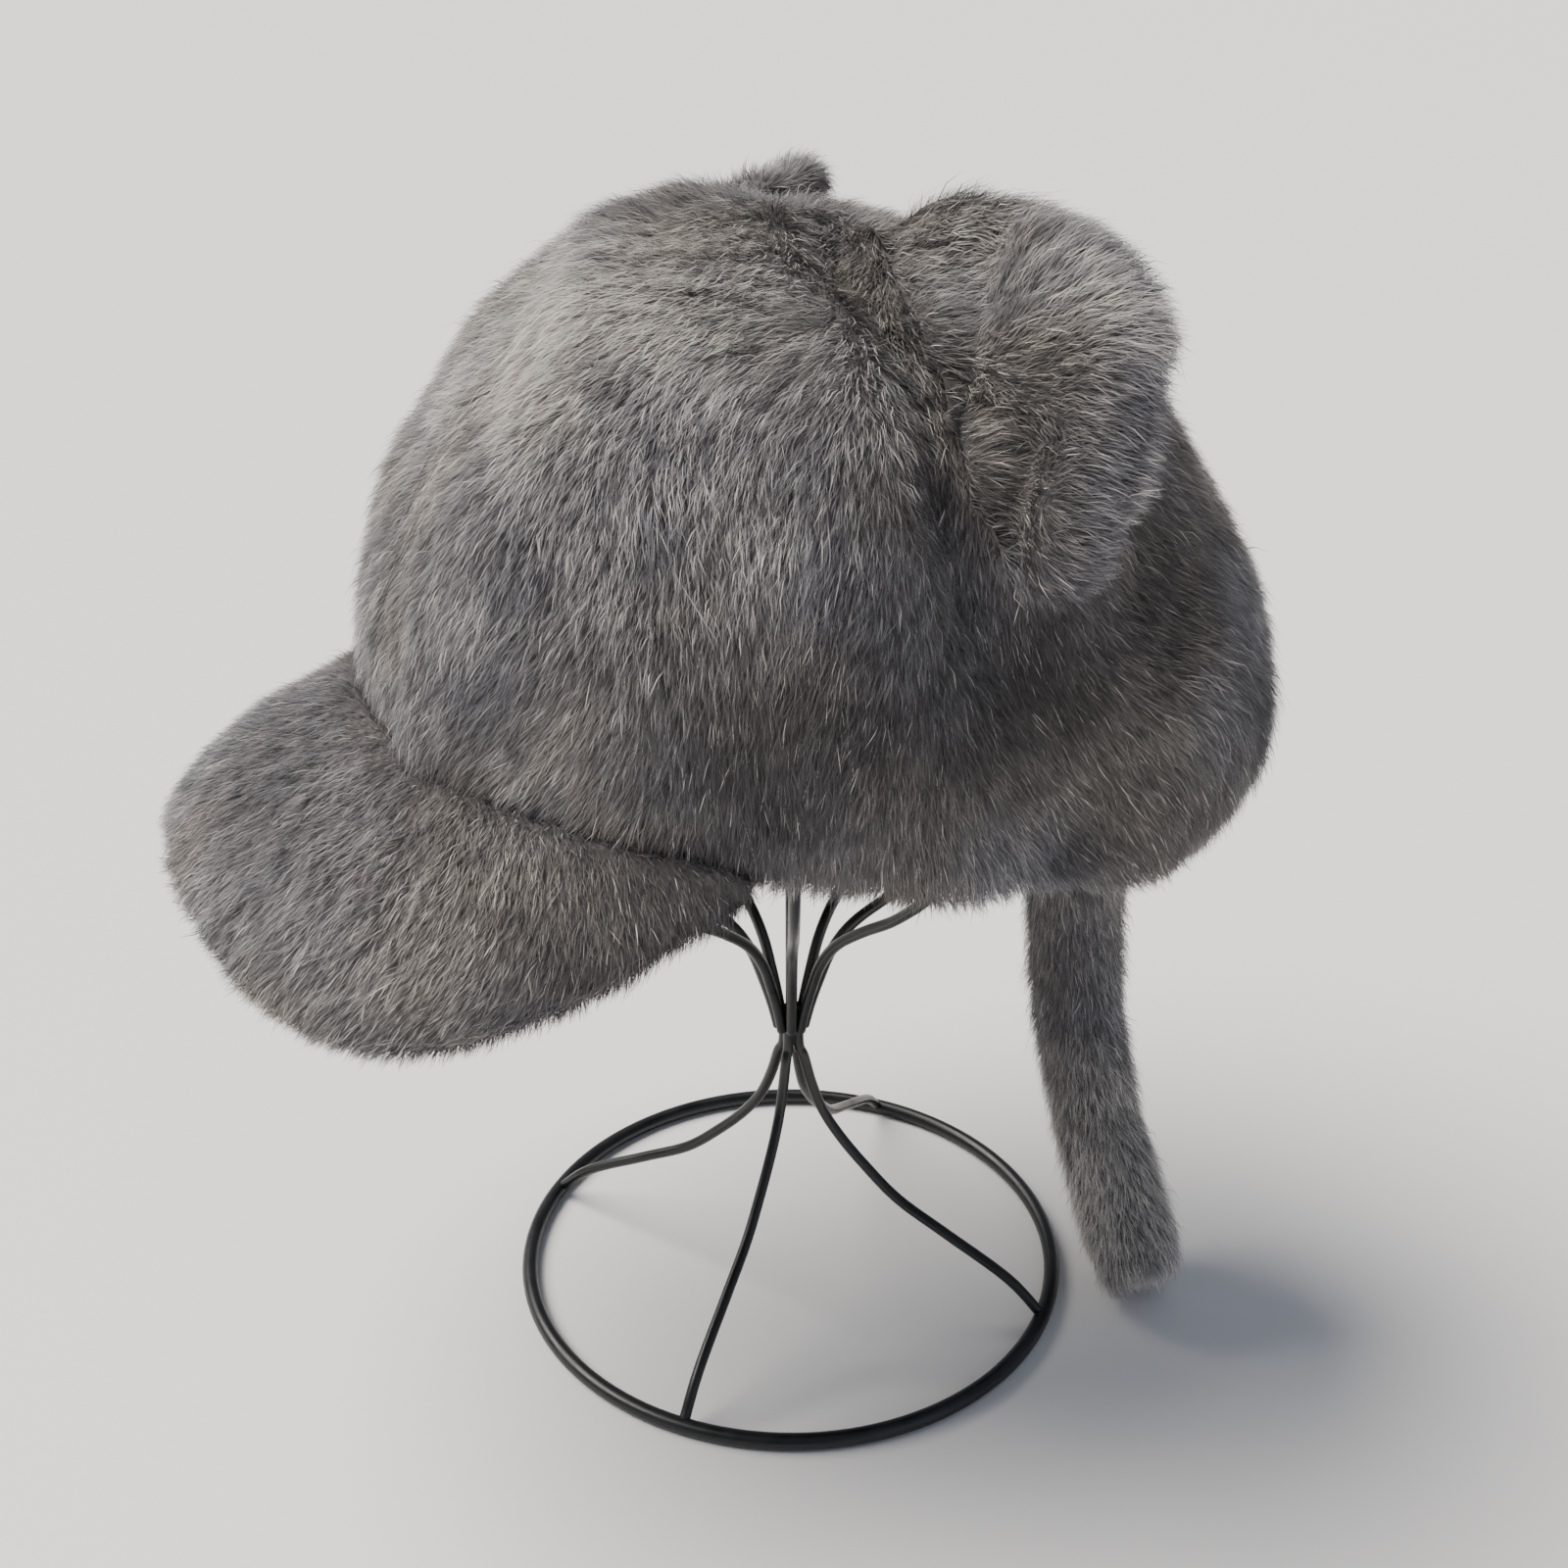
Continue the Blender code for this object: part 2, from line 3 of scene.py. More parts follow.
import bmesh
import bpy
import numpy as np
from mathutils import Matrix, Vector


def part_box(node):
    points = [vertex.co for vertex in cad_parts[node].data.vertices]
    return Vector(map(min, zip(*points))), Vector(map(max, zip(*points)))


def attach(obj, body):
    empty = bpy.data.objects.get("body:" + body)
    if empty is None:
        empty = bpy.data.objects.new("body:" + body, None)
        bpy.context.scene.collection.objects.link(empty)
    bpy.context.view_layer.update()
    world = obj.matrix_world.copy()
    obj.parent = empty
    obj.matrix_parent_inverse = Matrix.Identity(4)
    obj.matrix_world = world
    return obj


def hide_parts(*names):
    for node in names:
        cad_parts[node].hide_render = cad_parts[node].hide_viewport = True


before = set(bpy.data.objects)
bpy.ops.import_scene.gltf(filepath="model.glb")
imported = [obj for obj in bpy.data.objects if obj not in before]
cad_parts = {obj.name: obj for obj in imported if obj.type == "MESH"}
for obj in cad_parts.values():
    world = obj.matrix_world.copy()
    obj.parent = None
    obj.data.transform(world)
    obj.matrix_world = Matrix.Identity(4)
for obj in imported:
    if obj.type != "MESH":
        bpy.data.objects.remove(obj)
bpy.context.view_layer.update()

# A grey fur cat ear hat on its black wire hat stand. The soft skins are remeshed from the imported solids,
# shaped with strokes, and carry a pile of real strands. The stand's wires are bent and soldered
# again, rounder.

standLow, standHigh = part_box("stand")
standAxis = np.array([(standLow[0] + standHigh[0]) / 2, (standLow[1] + standHigh[1]) / 2, 0.0])
mm = 0.001
weldDistance = 1e-6
tinyLength = 1e-9
tinyArea = 1e-15


# Colours and materials


def linear(hexColor):
    # sRGB hex to linear red, green, blue and alpha
    values = [int(hexColor[i:i + 2], 16) / 255 for i in (1, 3, 5)]
    return (*[v / 12.92 if v <= 0.04045 else ((v + 0.055) / 1.055) ** 2.4 for v in values], 1.0)


def node(tree, kind, settings=None, links=None):
    # Adds a node, sets its properties and sockets, and links its inputs
    made = tree.nodes.new(kind)
    for name, value in (settings or {}).items():
        if isinstance(name, int) or name in made.inputs:
            made.inputs[name].default_value = value
        else:
            setattr(made, name, value)
    for name, source in (links or {}).items():
        tree.links.new(source, made.inputs[name])
    return made


def newMaterial(name):
    material = bpy.data.materials.new(name)
    material.use_nodes = True
    return material, material.node_tree, material.node_tree.nodes["Principled BSDF"]


def setRamp(ramp, stops):
    elements = ramp.color_ramp.elements
    while len(elements) < len(stops):
        elements.new(0.5)
    for element, (place, color) in zip(elements, stops):
        element.position = place
        element.color = linear(color)


furLook = {
    "rootWarm": "#4c4844",
    "rootCool": "#48474c",
    "tipDark": "#4b494b",
    "tipWarm": "#8f8983",
    "tipCool": "#89898f",
    "tipPale": "#f0ebe3",
    "hueMm": 45,
    "hueEdges": (0.38, 0.62),
    "patchMm": 24,
    "patchDepth": 0.8,
    "tipStart": 0.55,
    "rootEnd": 0.7,
    "roughness": 0.6,
    "specular": 0.3,
    "sheen": 0.25,
}


def fauxFurStrand(name):
    # Acrylic pile: dusky at the root and frosted at the tip, each hair a little different, warmer and cooler
    # by turns
    material, tree, shader = newMaterial(name)
    strandMap = node(tree, "ShaderNodeUVMap", {"uv_map": "strandMap"})
    parts = node(tree, "ShaderNodeSeparateXYZ", links={0: strandMap.outputs[0]})
    place = node(tree, "ShaderNodeTexCoord")
    hue = node(
        tree,
        "ShaderNodeTexNoise",
        {"Scale": 1 / (furLook["hueMm"] * mm), "Detail": 1.0},
        {"Vector": place.outputs["Object"]},
    )
    patches = node(
        tree,
        "ShaderNodeTexNoise",
        {"Scale": 1 / (furLook["patchMm"] * mm), "Detail": 3.0},
        {"Vector": place.outputs["Object"]},
    )
    depth = furLook["patchDepth"]
    shifted = node(
        tree,
        "ShaderNodeMath",
        {"operation": "MULTIPLY_ADD", 1: depth, 2: -depth / 2},
        {0: patches.outputs["Fac"]},
    )
    tone = node(
        tree,
        "ShaderNodeMath",
        {"operation": "ADD", "use_clamp": True},
        {0: parts.outputs["X"], 1: shifted.outputs[0]},
    )
    low, high = furLook["hueEdges"]
    warm = node(
        tree, "ShaderNodeMapRange", {"From Min": low, "From Max": high}, {"Value": hue.outputs["Fac"]}
    )
    root = node(
        tree,
        "ShaderNodeMix",
        {"data_type": "RGBA", 6: linear(furLook["rootWarm"]), 7: linear(furLook["rootCool"])},
        {0: warm.outputs[0]},
    )
    tips = []
    for tipColor in ("tipWarm", "tipCool"):
        ramp = node(tree, "ShaderNodeValToRGB", links={0: tone.outputs[0]})
        stops = [(0.0, "tipDark"), (furLook["tipStart"], tipColor), (1.0, "tipPale")]
        setRamp(ramp, [(share, furLook[stop]) for share, stop in stops])
        tips.append(ramp.outputs[0])
    tip = node(
        tree, "ShaderNodeMix", {"data_type": "RGBA"}, {0: warm.outputs[0], 6: tips[0], 7: tips[1]}
    )
    along = node(
        tree,
        "ShaderNodeMapRange",
        {"From Min": 0.0, "From Max": furLook["rootEnd"]},
        {"Value": parts.outputs["Y"]},
    )
    color = node(
        tree,
        "ShaderNodeMix",
        {"data_type": "RGBA"},
        {0: along.outputs[0], 6: root.outputs[2], 7: tip.outputs[2]},
    )
    tree.links.new(color.outputs[2], shader.inputs["Base Color"])
    shader.inputs["Roughness"].default_value = furLook["roughness"]
    shader.inputs["Specular IOR Level"].default_value = furLook["specular"]
    shader.inputs["Sheen Weight"].default_value = furLook["sheen"]
    shader.inputs["Sheen Roughness"].default_value = 0.5
    return material


undercoatLook = {"dark": "#4b4849", "light": "#75716f", "streakMm": 0.9, "stretch": 0.2, "reliefMm": 0.4}


def furUndercoat(name):
    # The dense short underwool between the hairs: matt and streaked down the nap, a little darker than the
    # tips
    material, tree, shader = newMaterial(name)
    place = node(tree, "ShaderNodeTexCoord")
    stretch = node(
        tree,
        "ShaderNodeMapping",
        {"Scale": (1.0, 1.0, undercoatLook["stretch"])},
        {"Vector": place.outputs["Object"]},
    )
    streaks = node(
        tree,
        "ShaderNodeTexNoise",
        {"Scale": 1 / (undercoatLook["streakMm"] * mm), "Detail": 4.0},
        {"Vector": stretch.outputs[0]},
    )
    color = node(tree, "ShaderNodeValToRGB", links={0: streaks.outputs["Fac"]})
    setRamp(color, [(0.3, undercoatLook["dark"]), (0.7, undercoatLook["light"])])
    tree.links.new(color.outputs[0], shader.inputs["Base Color"])
    bump = node(
        tree,
        "ShaderNodeBump",
        {"Strength": 0.5, "Distance": undercoatLook["reliefMm"] * mm},
        {"Height": streaks.outputs["Fac"]},
    )
    tree.links.new(bump.outputs[0], shader.inputs["Normal"])
    shader.inputs["Roughness"].default_value = 0.95
    shader.inputs["Specular IOR Level"].default_value = 0.1
    return material


# The wave texture repeats every 0.314 of its size, so 3.2 mm gives ribs 1 mm apart
backingLook = {"dark": "#3a3736", "light": "#4d4947", "waveMm": 3.2, "reliefMm": 0.2}


def knittedBacking(name):
    # The warp knit that the pile is sewn into, seen inside the hat: fine ribs about 1 mm apart
    material, tree, shader = newMaterial(name)
    place = node(tree, "ShaderNodeTexCoord")
    loops = node(
        tree,
        "ShaderNodeTexWave",
        {"Scale": 1 / (backingLook["waveMm"] * mm), "Distortion": 1.2, "Detail": 2.0},
        {"Vector": place.outputs["Object"]},
    )
    color = node(tree, "ShaderNodeValToRGB", links={0: loops.outputs["Fac"]})
    setRamp(color, [(0.2, backingLook["dark"]), (0.8, backingLook["light"])])
    tree.links.new(color.outputs[0], shader.inputs["Base Color"])
    bump = node(
        tree,
        "ShaderNodeBump",
        {"Strength": 0.5, "Distance": backingLook["reliefMm"] * mm},
        {"Height": loops.outputs["Fac"]},
    )
    tree.links.new(bump.outputs[0], shader.inputs["Normal"])
    shader.inputs["Roughness"].default_value = 0.9
    return material


lacquerLook = {
    "dark": "#0e1011",
    "light": "#1b1e20",
    "peelMm": 0.9,
    "peelReliefMm": 0.08,
    "wearMm": 9,
    "glossy": 0.26,
    "dull": 0.44,
}


def satinBlackLacquer(name):
    # Dipped and stoved black lacquer on steel wire: deep black with a soft sheen and a faint orange peel
    material, tree, shader = newMaterial(name)
    place = node(tree, "ShaderNodeTexCoord")
    peel = node(
        tree,
        "ShaderNodeTexNoise",
        {"Scale": 1 / (lacquerLook["peelMm"] * mm), "Detail": 3.0},
        {"Vector": place.outputs["Object"]},
    )
    wear = node(
        tree,
        "ShaderNodeTexNoise",
        {"Scale": 1 / (lacquerLook["wearMm"] * mm), "Detail": 5.0},
        {"Vector": place.outputs["Object"]},
    )
    color = node(tree, "ShaderNodeValToRGB", links={0: wear.outputs["Fac"]})
    setRamp(color, [(0.35, lacquerLook["dark"]), (0.7, lacquerLook["light"])])
    tree.links.new(color.outputs[0], shader.inputs["Base Color"])
    sheen = node(
        tree,
        "ShaderNodeMapRange",
        {"From Min": 0.3, "From Max": 0.7, "To Min": lacquerLook["glossy"], "To Max": lacquerLook["dull"]},
        {"Value": wear.outputs["Fac"]},
    )
    tree.links.new(sheen.outputs[0], shader.inputs["Roughness"])
    bump = node(
        tree,
        "ShaderNodeBump",
        {"Strength": 0.25, "Distance": lacquerLook["peelReliefMm"] * mm},
        {"Height": peel.outputs["Fac"]},
    )
    tree.links.new(bump.outputs[0], shader.inputs["Normal"])
    return material


strandMaterial = fauxFurStrand("acrylic fur pile")
undercoatMaterial = furUndercoat("fur undercoat")
backingMaterial = knittedBacking("knitted fur backing")
lacquerMaterial = satinBlackLacquer("satin black lacquer on wire")
print("materials ready")


# Helpers for meshes


def onlyActive(item):
    bpy.ops.object.select_all(action="DESELECT")
    item.select_set(True)
    bpy.context.view_layer.objects.active = item


def applyModifier(item, kind, **settings):
    onlyActive(item)
    modifier = item.modifiers.new(kind.title(), kind)
    for name, value in settings.items():
        setattr(modifier, name, value)
    bpy.ops.object.modifier_apply(modifier=modifier.name)


def meshArrays(mesh):
    points = np.empty(len(mesh.vertices) * 3)
    mesh.vertices.foreach_get("co", points)
    normals = np.empty(len(mesh.vertices) * 3)
    mesh.vertices.foreach_get("normal", normals)
    return points.reshape(-1, 3), normals.reshape(-1, 3)


waveSettings = {"count": 9, "longest": 0.6, "shortest": 1.5, "evening": 1.6}


def waves(points, sizeMm, seed):
    # Smooth noise between about -1 and 1, of a given size, from a few crossing waves
    random = np.random.default_rng(seed)
    total = np.zeros(len(points))
    for _ in range(waveSettings["count"]):
        direction = random.normal(size=3)
        pace = random.uniform(waveSettings["longest"], waveSettings["shortest"])
        direction *= pace * math.tau / (sizeMm * mm) / np.linalg.norm(direction) / 2
        total += np.sin(points @ direction + random.uniform(0, math.tau))
    return total / math.sqrt(waveSettings["count"] / 2) / waveSettings["evening"]


def strokeField(points, line, widthMm):
    # 1 on the line, falling off to 0 over the width
    nearest = np.full(len(points), np.inf)
    ends = np.array(line) * mm + standAxis
    for start, end in zip(ends, ends[1:]):
        along = end - start
        share = np.clip((points - start) @ along / (along @ along), 0, 1)
        nearest = np.minimum(nearest, np.linalg.norm(points - start - share[:, None] * along, axis=1))
    return np.exp(-((nearest / (widthMm * mm)) ** 2))


def softSkin(nodeName, name, settings):
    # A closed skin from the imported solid: welded, remeshed, rounded and then shaped with strokes
    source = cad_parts[nodeName]
    skin = bpy.data.objects.new(name, source.data.copy())
    bpy.context.scene.collection.objects.link(skin)
    skin.data.materials.clear()
    welded = bmesh.new()
    welded.from_mesh(skin.data)
    bmesh.ops.remove_doubles(welded, verts=welded.verts, dist=weldDistance)
    welded.to_mesh(skin.data)
    welded.free()
    applyModifier(skin, "REMESH", mode="VOXEL", voxel_size=settings["voxelMm"] * mm, use_smooth_shade=True)
    applyModifier(skin, "SMOOTH", factor=0.5, iterations=settings["smoothRounds"])
    points, normals = meshArrays(skin.data)
    shift = waves(points, settings["lumpMm"], settings["seed"]) * settings["lumpDepthMm"] * mm
    for line, depthMm, widthMm in settings["strokes"]:
        shift += strokeField(points, line, widthMm) * depthMm * mm
    inside = ((points - standAxis - np.array(settings["core"]) * mm) * normals).sum(axis=1) < 0
    if settings["hollow"]:
        shift[inside] *= settings["insideShare"]
        shift[~inside] += settings["swellMm"] * mm
    else:
        shift += settings["swellMm"] * mm
    points += normals * shift[:, None]
    skin.data.vertices.foreach_set("co", points.ravel())
    skin.data.update()
    skin.data.materials.append(undercoatMaterial)
    if settings["hollow"]:
        skin.data.materials.append(backingMaterial)
        for polygon in skin.data.polygons:
            if all(inside[v] for v in polygon.vertices):
                polygon.material_index = 1
    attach(skin, "root")
    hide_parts(nodeName)
    print("skin", name, len(skin.data.polygons), "faces")
    return skin


def unit(vectors):
    return vectors / np.maximum(np.linalg.norm(vectors, axis=1), tinyLength)[:, None]


def flatten(vectors, normals):
    # Vectors laid into the surface, at length 1
    return unit(vectors - normals * (vectors * normals).sum(axis=1)[:, None])


def strandRoots(skin, density, random, keep):
    # Random places on the faces that keep accepts, so many to a square mm, with their smooth normals
    mesh = skin.data
    mesh.calc_loop_triangles()
    points, normals = meshArrays(mesh)
    corners = np.empty(len(mesh.loop_triangles) * 3, np.int64)
    mesh.loop_triangles.foreach_get("vertices", corners)
    corners = corners.reshape(-1, 3)
    a, b, c = points[corners[:, 0]], points[corners[:, 1]], points[corners[:, 2]]
    cross = np.cross(b - a, c - a)
    area = np.linalg.norm(cross, axis=1) / 2
    facing = cross / np.maximum(area * 2, tinyArea)[:, None]
    share = area * keep((a + b + c) / 3 - standAxis, facing)
    count = int(share.sum() * density * 1e6)
    picked = np.searchsorted(np.cumsum(share), random.random(count) * share.sum())
    picked = np.minimum(picked, len(corners) - 1)
    u, v = random.random(count), random.random(count)
    over = u + v > 1
    u[over], v[over] = 1 - u[over], 1 - v[over]
    weights = np.stack([1 - u - v, u, v], axis=1)
    at = (points[corners[picked]] * weights[:, :, None]).sum(axis=1)
    normal = (normals[corners[picked]] * weights[:, :, None]).sum(axis=1)
    return at, unit(normal)


pileSettings = {
    # wisps: warped cells, with the warp's size and depth as shares of a cell
    "warpSize": 2.4,
    "warpDepth": 0.4,
    "cellStride": 4096,
    "wispTone": 0.07,
    # lift off the skin in radians: spread from hair to hair, swing from patch to patch, and limits
    "liftSpread": 0.18,
    "liftSwing": 0.2,
    "liftLimits": (0.05, 1.4),
    "tipSpread": 0.12,
    "tipLimits": (-0.15, 1.3),
    # length: spread from hair to hair, swing from patch to patch, a few long ones, and limits
    "lengthSpread": 0.2,
    "lengthSwing": 0.12,
    "lengthSwingMm": 9,
    "longShare": 0.015,
    "longTimes": 1.35,
    "lengthLimitsMm": (1.5, 16),
    # shape: how deep the root starts, and how wide the middle is against the root
    "rootDepthMm": 0.4,
    "middleWidth": 0.8,
    "widthRange": (0.7, 1.3),
    "pullRange": (0.2, 1.0),
    "floorGapMm": 0.4,
    # tone, from dull at 0 to pale at 1
    "tone": 0.5,
    "toneSpread": 0.16,
    "underTone": 0.06,
    "frostShare": 0.03,
    "frostTone": 0.95,
    # how far along the hair a short straight strand's tip is coloured
    "shortTip": 0.85,
}
looseHair = {"halfWidthMm": 0.09, "bowMm": (1.0, -0.6, 0.8)}


def clumpCells(at, sizeMm, seed):
    # The number of the wisp that each strand belongs to: warped cells of about a given size
    size, stride = pileSettings["warpSize"] * sizeMm, pileSettings["cellStride"]
    warp = np.stack([waves(at, size, seed + i) for i in range(3)], axis=1) * pileSettings["warpDepth"]
    cells = np.floor((at + warp * sizeMm * mm) / (sizeMm * mm)).astype(np.int64)
    key = (cells[:, 0] * stride + cells[:, 1]) * stride + cells[:, 2]
    return np.unique(key, return_inverse=True)[1]


def drawTogether(tips, cells, pull):
    # Moves each tip part of the way to the middle of its wisp's tips
    count = np.bincount(cells)
    middle = np.stack([np.bincount(cells, tips[:, i]) / count for i in range(3)], axis=1)
    return tips + (middle[cells] - tips) * pull[:, None]


def strandVertices(at, normal, direction, length, settings, random, cells):
    # Five points for each strand: two at the root, two at the middle, one at the tip
    count, pile = len(at), pileSettings
    lift = np.radians(settings["liftRoot"]) + random.normal(size=count) * pile["liftSpread"]
    swing = waves(at, settings["clumpMm"] * 2, settings["seed"] + 4) * pile["liftSwing"]
    lift = np.clip(lift + swing, *pile["liftLimits"])
    drop = lift * settings["liftTip"] + random.normal(size=count) * pile["tipSpread"]
    drop = np.clip(drop, *pile["tipLimits"])
    first = direction * np.cos(lift)[:, None] + normal * np.sin(lift)[:, None]
    second = direction * np.cos(drop)[:, None] + normal * np.sin(drop)[:, None]
    second[:, 2] -= settings["droop"]
    start = at - normal * pile["rootDepthMm"] * mm
    middle = start + first * (length / 2)[:, None]
    tip = middle + unit(second) * (length / 2)[:, None]
    tip = drawTogether(tip, cells, settings["pull"] * random.uniform(*pile["pullRange"], count))
    flatSide = unit(np.cross(first, normal))
    facing = np.cross(flatSide, first)
    twist = random.normal(size=count) * settings["twist"]
    across = flatSide * np.cos(twist)[:, None] + facing * np.sin(twist)[:, None]
    half = across * (settings["widthMm"] * mm / 2 * random.uniform(*pile["widthRange"], count))[:, None]
    waist = half * pile["middleWidth"]
    points = np.stack([start - half, start + half, middle + waist, middle - waist, tip], axis=1)
    points[:, :, 2] = np.maximum(points[:, :, 2], pile["floorGapMm"] * mm)
    return points


def growFur(name, skin, settings, comb, keep):
    # A mesh of tapered strands combed along the skin: bent ones of three triangles, and short straight ones
    # of one
    random, pile = np.random.default_rng(settings["seed"]), pileSettings
    at, normal = strandRoots(skin, settings["perSquareMm"], random, keep)
    count = len(at)
    direction = flatten(comb(at - standAxis, normal), normal)
    side = np.cross(normal, direction)
    cells = clumpCells(at, settings["clumpMm"], settings["seed"])
    cellTurn = random.normal(size=cells.max() + 1) * settings["clumpTurn"]
    turn = waves(at, settings["swirlMm"], settings["seed"] + 1) * settings["swirl"] + cellTurn[cells]
    turn += random.normal(size=count) * settings["stray"]
    direction = direction * np.cos(turn)[:, None] + side * np.sin(turn)[:, None]
    change = random.normal(size=count) * pile["lengthSpread"]
    change += waves(at, pile["lengthSwingMm"], settings["seed"] + 3) * pile["lengthSwing"]
    length = settings["lengthMm"] * mm * (1 + change)
    length[random.random(count) < pile["longShare"]] *= pile["longTimes"]
    parted = np.zeros(count)
    for line, widthMm, share in settings["partings"]:
        parted = np.maximum(parted, strokeField(at, line, widthMm) * share)
    length *= 1 - settings["partingCut"] * parted
    cellTone = random.normal(size=cells.max() + 1) * pile["wispTone"]
    tone = pile["tone"] + random.normal(size=count) * pile["toneSpread"] + cellTone[cells]
    # Painted shade: hairs along the seams and creases are darkened where shade falls in them
    tone -= settings["partingPaintedShade"] * parted
    # Painted light and shade: hairs are made lighter where light falls on the hat and darker where shade
    # falls
    for place, sizeMm, paintedLight in paintedLightAndShade:
        away = np.linalg.norm(at - standAxis - np.array(place) * mm, axis=1)
        tone += paintedLight * np.exp(-((away / (sizeMm * mm)) ** 2))
    tone = np.clip(tone, 0, 1)
    tone[random.random(count) < pile["frostShare"]] = pile["frostTone"]
    bent = random.random(count) < settings["bentShare"]
    length[~bent] *= settings["underLength"]
    tone[~bent] -= pile["underTone"]
    shortest, longest = pile["lengthLimitsMm"]
    length = np.clip(length, shortest * mm, longest * mm)
    points = strandVertices(at, normal, direction, length, settings, random, cells)
    shortPoints, shortTone = points[~bent][:, [0, 1, 4]], np.clip(tone[~bent], 0, 1)
    writeStrands(name, points[bent], shortPoints, tone[bent], shortTone, settings)


def writeStrands(name, bentPoints, shortPoints, bentTone, shortTone, settings):
    # One mesh: a bent strand has a quad and a triangle, a short one a triangle. The map holds each corner's
    # tone and its place along the hair
    for start, end in settings["looseHairs"]:
        # A single shed hair that lies on the pile, bowed a little
        start, end = np.array(start) * mm + standAxis, np.array(end) * mm + standAxis
        thin = np.array([0.0, 0.0, looseHair["halfWidthMm"] * mm])
        bow = (start + end) / 2 + np.array(looseHair["bowMm"]) * mm
        hair = [start - thin, start + thin, bow + thin, bow - thin, end]
        bentPoints = np.concatenate([bentPoints, [hair]])
        bentTone = np.append(bentTone, 1.0)
    bent, short = len(bentPoints), len(shortPoints)
    mesh = bpy.data.meshes.new(name)
    mesh.vertices.add(bent * 5 + short * 3)
    vertices = np.concatenate([bentPoints.reshape(-1, 3), shortPoints.reshape(-1, 3)])
    mesh.vertices.foreach_set("co", vertices.astype(np.float32).ravel())
    bentBase = np.arange(bent, dtype=np.int32)[:, None]
    shortBase = np.arange(short, dtype=np.int32)[:, None]
    bentCorners = bentBase * 5 + np.array([0, 1, 2, 3, 3, 2, 4], np.int32)
    shortCorners = bent * 5 + shortBase * 3 + np.array([0, 1, 2], np.int32)
    mesh.loops.add(bent * 7 + short * 3)
    mesh.loops.foreach_set("vertex_index", np.concatenate([bentCorners.ravel(), shortCorners.ravel()]))
    mesh.polygons.add(bent * 2 + short)
    bentStarts = bentBase * 7 + np.array([0, 4], np.int32)
    shortStarts = bent * 7 + shortBase * 3
    mesh.polygons.foreach_set("loop_start", np.concatenate([bentStarts.ravel(), shortStarts.ravel()]))
    bentAlong = np.array([0, 0, 0.5, 0.5, 0.5, 0.5, 1.0])
    shortAlong = np.array([0, 0, pileSettings["shortTip"]])
    tones = np.concatenate([np.repeat(bentTone, 7), np.repeat(shortTone, 3)])
    alongs = np.concatenate([np.tile(bentAlong, bent), np.tile(shortAlong, short)])
    layer = mesh.uv_layers.new(name="strandMap")
    layer.uv.foreach_set("vector", np.stack([tones, alongs], axis=1).astype(np.float32).ravel())
    mesh.update(calc_edges=True)
    mesh.validate()
    mesh.shade_smooth()
    mesh.materials.append(strandMaterial)
    fur = bpy.data.objects.new(name, mesh)
    bpy.context.scene.collection.objects.link(fur)
    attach(fur, "root")
    print("fur", name, bent + short, "strands", bent * 3 + short, "triangles")


# Crown

# Lines through the surface are in mm from the stand's axis: across to the wearer's left, to the back, and up
seamLine = [
    (8, 2, 297), (18, 1, 296), (33, 1, 293), (51, -1, 287),
    (66, 0, 281), (78, 1, 271), (86, 1, 255), (91, 5, 238),
]
seamRight = [(-x, y, z) for x, y, z in seamLine]
peakLine = [
    (-60, -76, 186), (-36, -97, 189), (-8, -107, 190), (8, -107, 190),
    (36, -97, 189), (66, -70, 185), (84, -42, 177),
]
crownPinch = [(24, -2, 297), (38, -7, 292)]
frontFold = [
    (-19, -38, 291), (26, -55, 280), (41, -67, 265), (45, -82, 241), (34, -94, 221), (33, -97, 203),
]
crownSettings = {
    "voxelMm": 3.2,
    "smoothRounds": 4,
    "swellMm": -1.2,
    "lumpMm": 26,
    "lumpDepthMm": 1.1,
    "core": (0, 0, 205),
    "hollow": True,
    "insideShare": -0.15,
    "seed": 11,
    "strokes": [
        # line, depth in mm, width in mm
        (seamLine, -5.5, 5.5),
        (seamRight, -2.0, 5.5),
        (crownPinch, -4.0, 5.5),
        (peakLine, 0.8, 9),
        ([(-28, -12, 296), (-48, -12, 291)], 3.5, 11),
        (frontFold, 3.0, 12),
        ([(44, -24, 288), (60, -36, 270), (70, -50, 244)], -3.0, 12),
        ([(60, -12, 283), (78, -18, 262), (86, -22, 238)], 2.0, 11),
        ([(93, 8, 230), (94, 17, 216), (94, 27, 194), (90, 34, 174)], -6.0, 11),
        ([(84, 50, 245), (88, 48, 228)], -3.5, 12),
        ([(86, 68, 214), (83, 78, 195), (79, 74, 172)], 3.0, 15),
        ([(-86, 68, 214), (-83, 78, 195), (-79, 74, 172)], 2.5, 15),
        ([(90, -18, 200), (92, -4, 178)], 2.0, 13),
    ],
}
